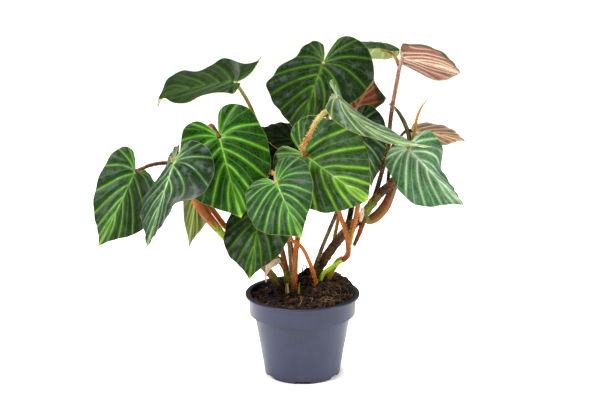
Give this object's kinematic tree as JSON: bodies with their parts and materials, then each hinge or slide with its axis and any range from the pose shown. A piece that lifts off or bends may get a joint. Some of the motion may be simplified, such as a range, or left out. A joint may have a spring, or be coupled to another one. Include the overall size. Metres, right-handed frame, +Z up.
{
  "type": "potted philodendron verrucosum",
  "caption": "Velvet-leaved climbing aroid with pale-veined heart-shaped leaves on red petioles, in a tapered grey nursery pot of soil.",
  "frame": {"origin": "middle of the underside of the pot's base, on the surface it stands on", "axes": "+Z up, the plant's widest spread along X, and the pictured front towards -Y"},
  "size_m": [0.3798, 0.1634, 0.3544],
  "materials": {
    "leaf_bright": "satin",
    "leaf_dark": "matte",
    "leaf_silver": "satin",
    "leaf_under": "matte",
    "stem_green": "satin",
    "stem_dark": "matte",
    "petiole_red": "satin",
    "petiole_olive": "satin",
    "petiole_pink": "satin",
    "husk": "matte",
    "soil": "matte",
    "pot": "satin"
  },
  "bodies": {
    "root": {"leaf_far_left": "leaf_bright", "leaf_large_left": "leaf_bright", "leaf_large_centre": "leaf_bright", "leaf_upper_left": "leaf_dark", "leaf_bottom": "leaf_dark", "leaf_upper_right": "leaf_dark", "leaf_top": "leaf_dark", "leaf_top_back": "leaf_dark", "leaf_behind_right": "leaf_dark", "leaf_behind_left": "leaf_dark", "leaf_behind_centre": "leaf_dark", "rolled_leaf": "leaf_dark", "leaf_left": "leaf_silver", "leaf_front": "leaf_silver", "leaf_right": "leaf_silver", "leaf_low_back": "leaf_under", "leaf_top_right": "leaf_under", "leaf_back_centre": "leaf_under", "leaf_back_right": "leaf_under", "vine_left": "stem_green", "vine_right_front": "stem_green", "sprout": "stem_green", "vine_right": "stem_dark", "petiole_back_centre": "stem_dark", "petiole_top_back": "stem_dark", "petiole_back_right": "stem_dark", "shoot_left": "stem_dark", "aerial_root": "stem_dark", "vine_left_back": "petiole_red", "petiole_upper_left": "petiole_red", "petiole_large_left": "petiole_red", "petiole_behind_left": "petiole_red", "petiole_bottom": "petiole_red", "petiole_behind_centre": "petiole_red", "petiole_large_centre": "petiole_red", "petiole_top": "petiole_red", "petiole_right": "petiole_red", "vine_right_old": "petiole_olive", "petiole_far_left": "petiole_olive", "petiole_left": "petiole_olive", "petiole_low_back": "petiole_olive", "petiole_front": "petiole_olive", "petiole_upper_right": "petiole_olive", "petiole_behind_right": "petiole_olive", "new_shoot": "petiole_olive", "sheath_left": "petiole_pink", "sheath_right": "petiole_pink", "petiole_top_right": "petiole_pink", "husk_left": "husk", "husk_right": "husk", "husk_arch": "husk", "bud": "husk", "soil": "soil", "pot": "pot"}
  },
  "joints": []
}
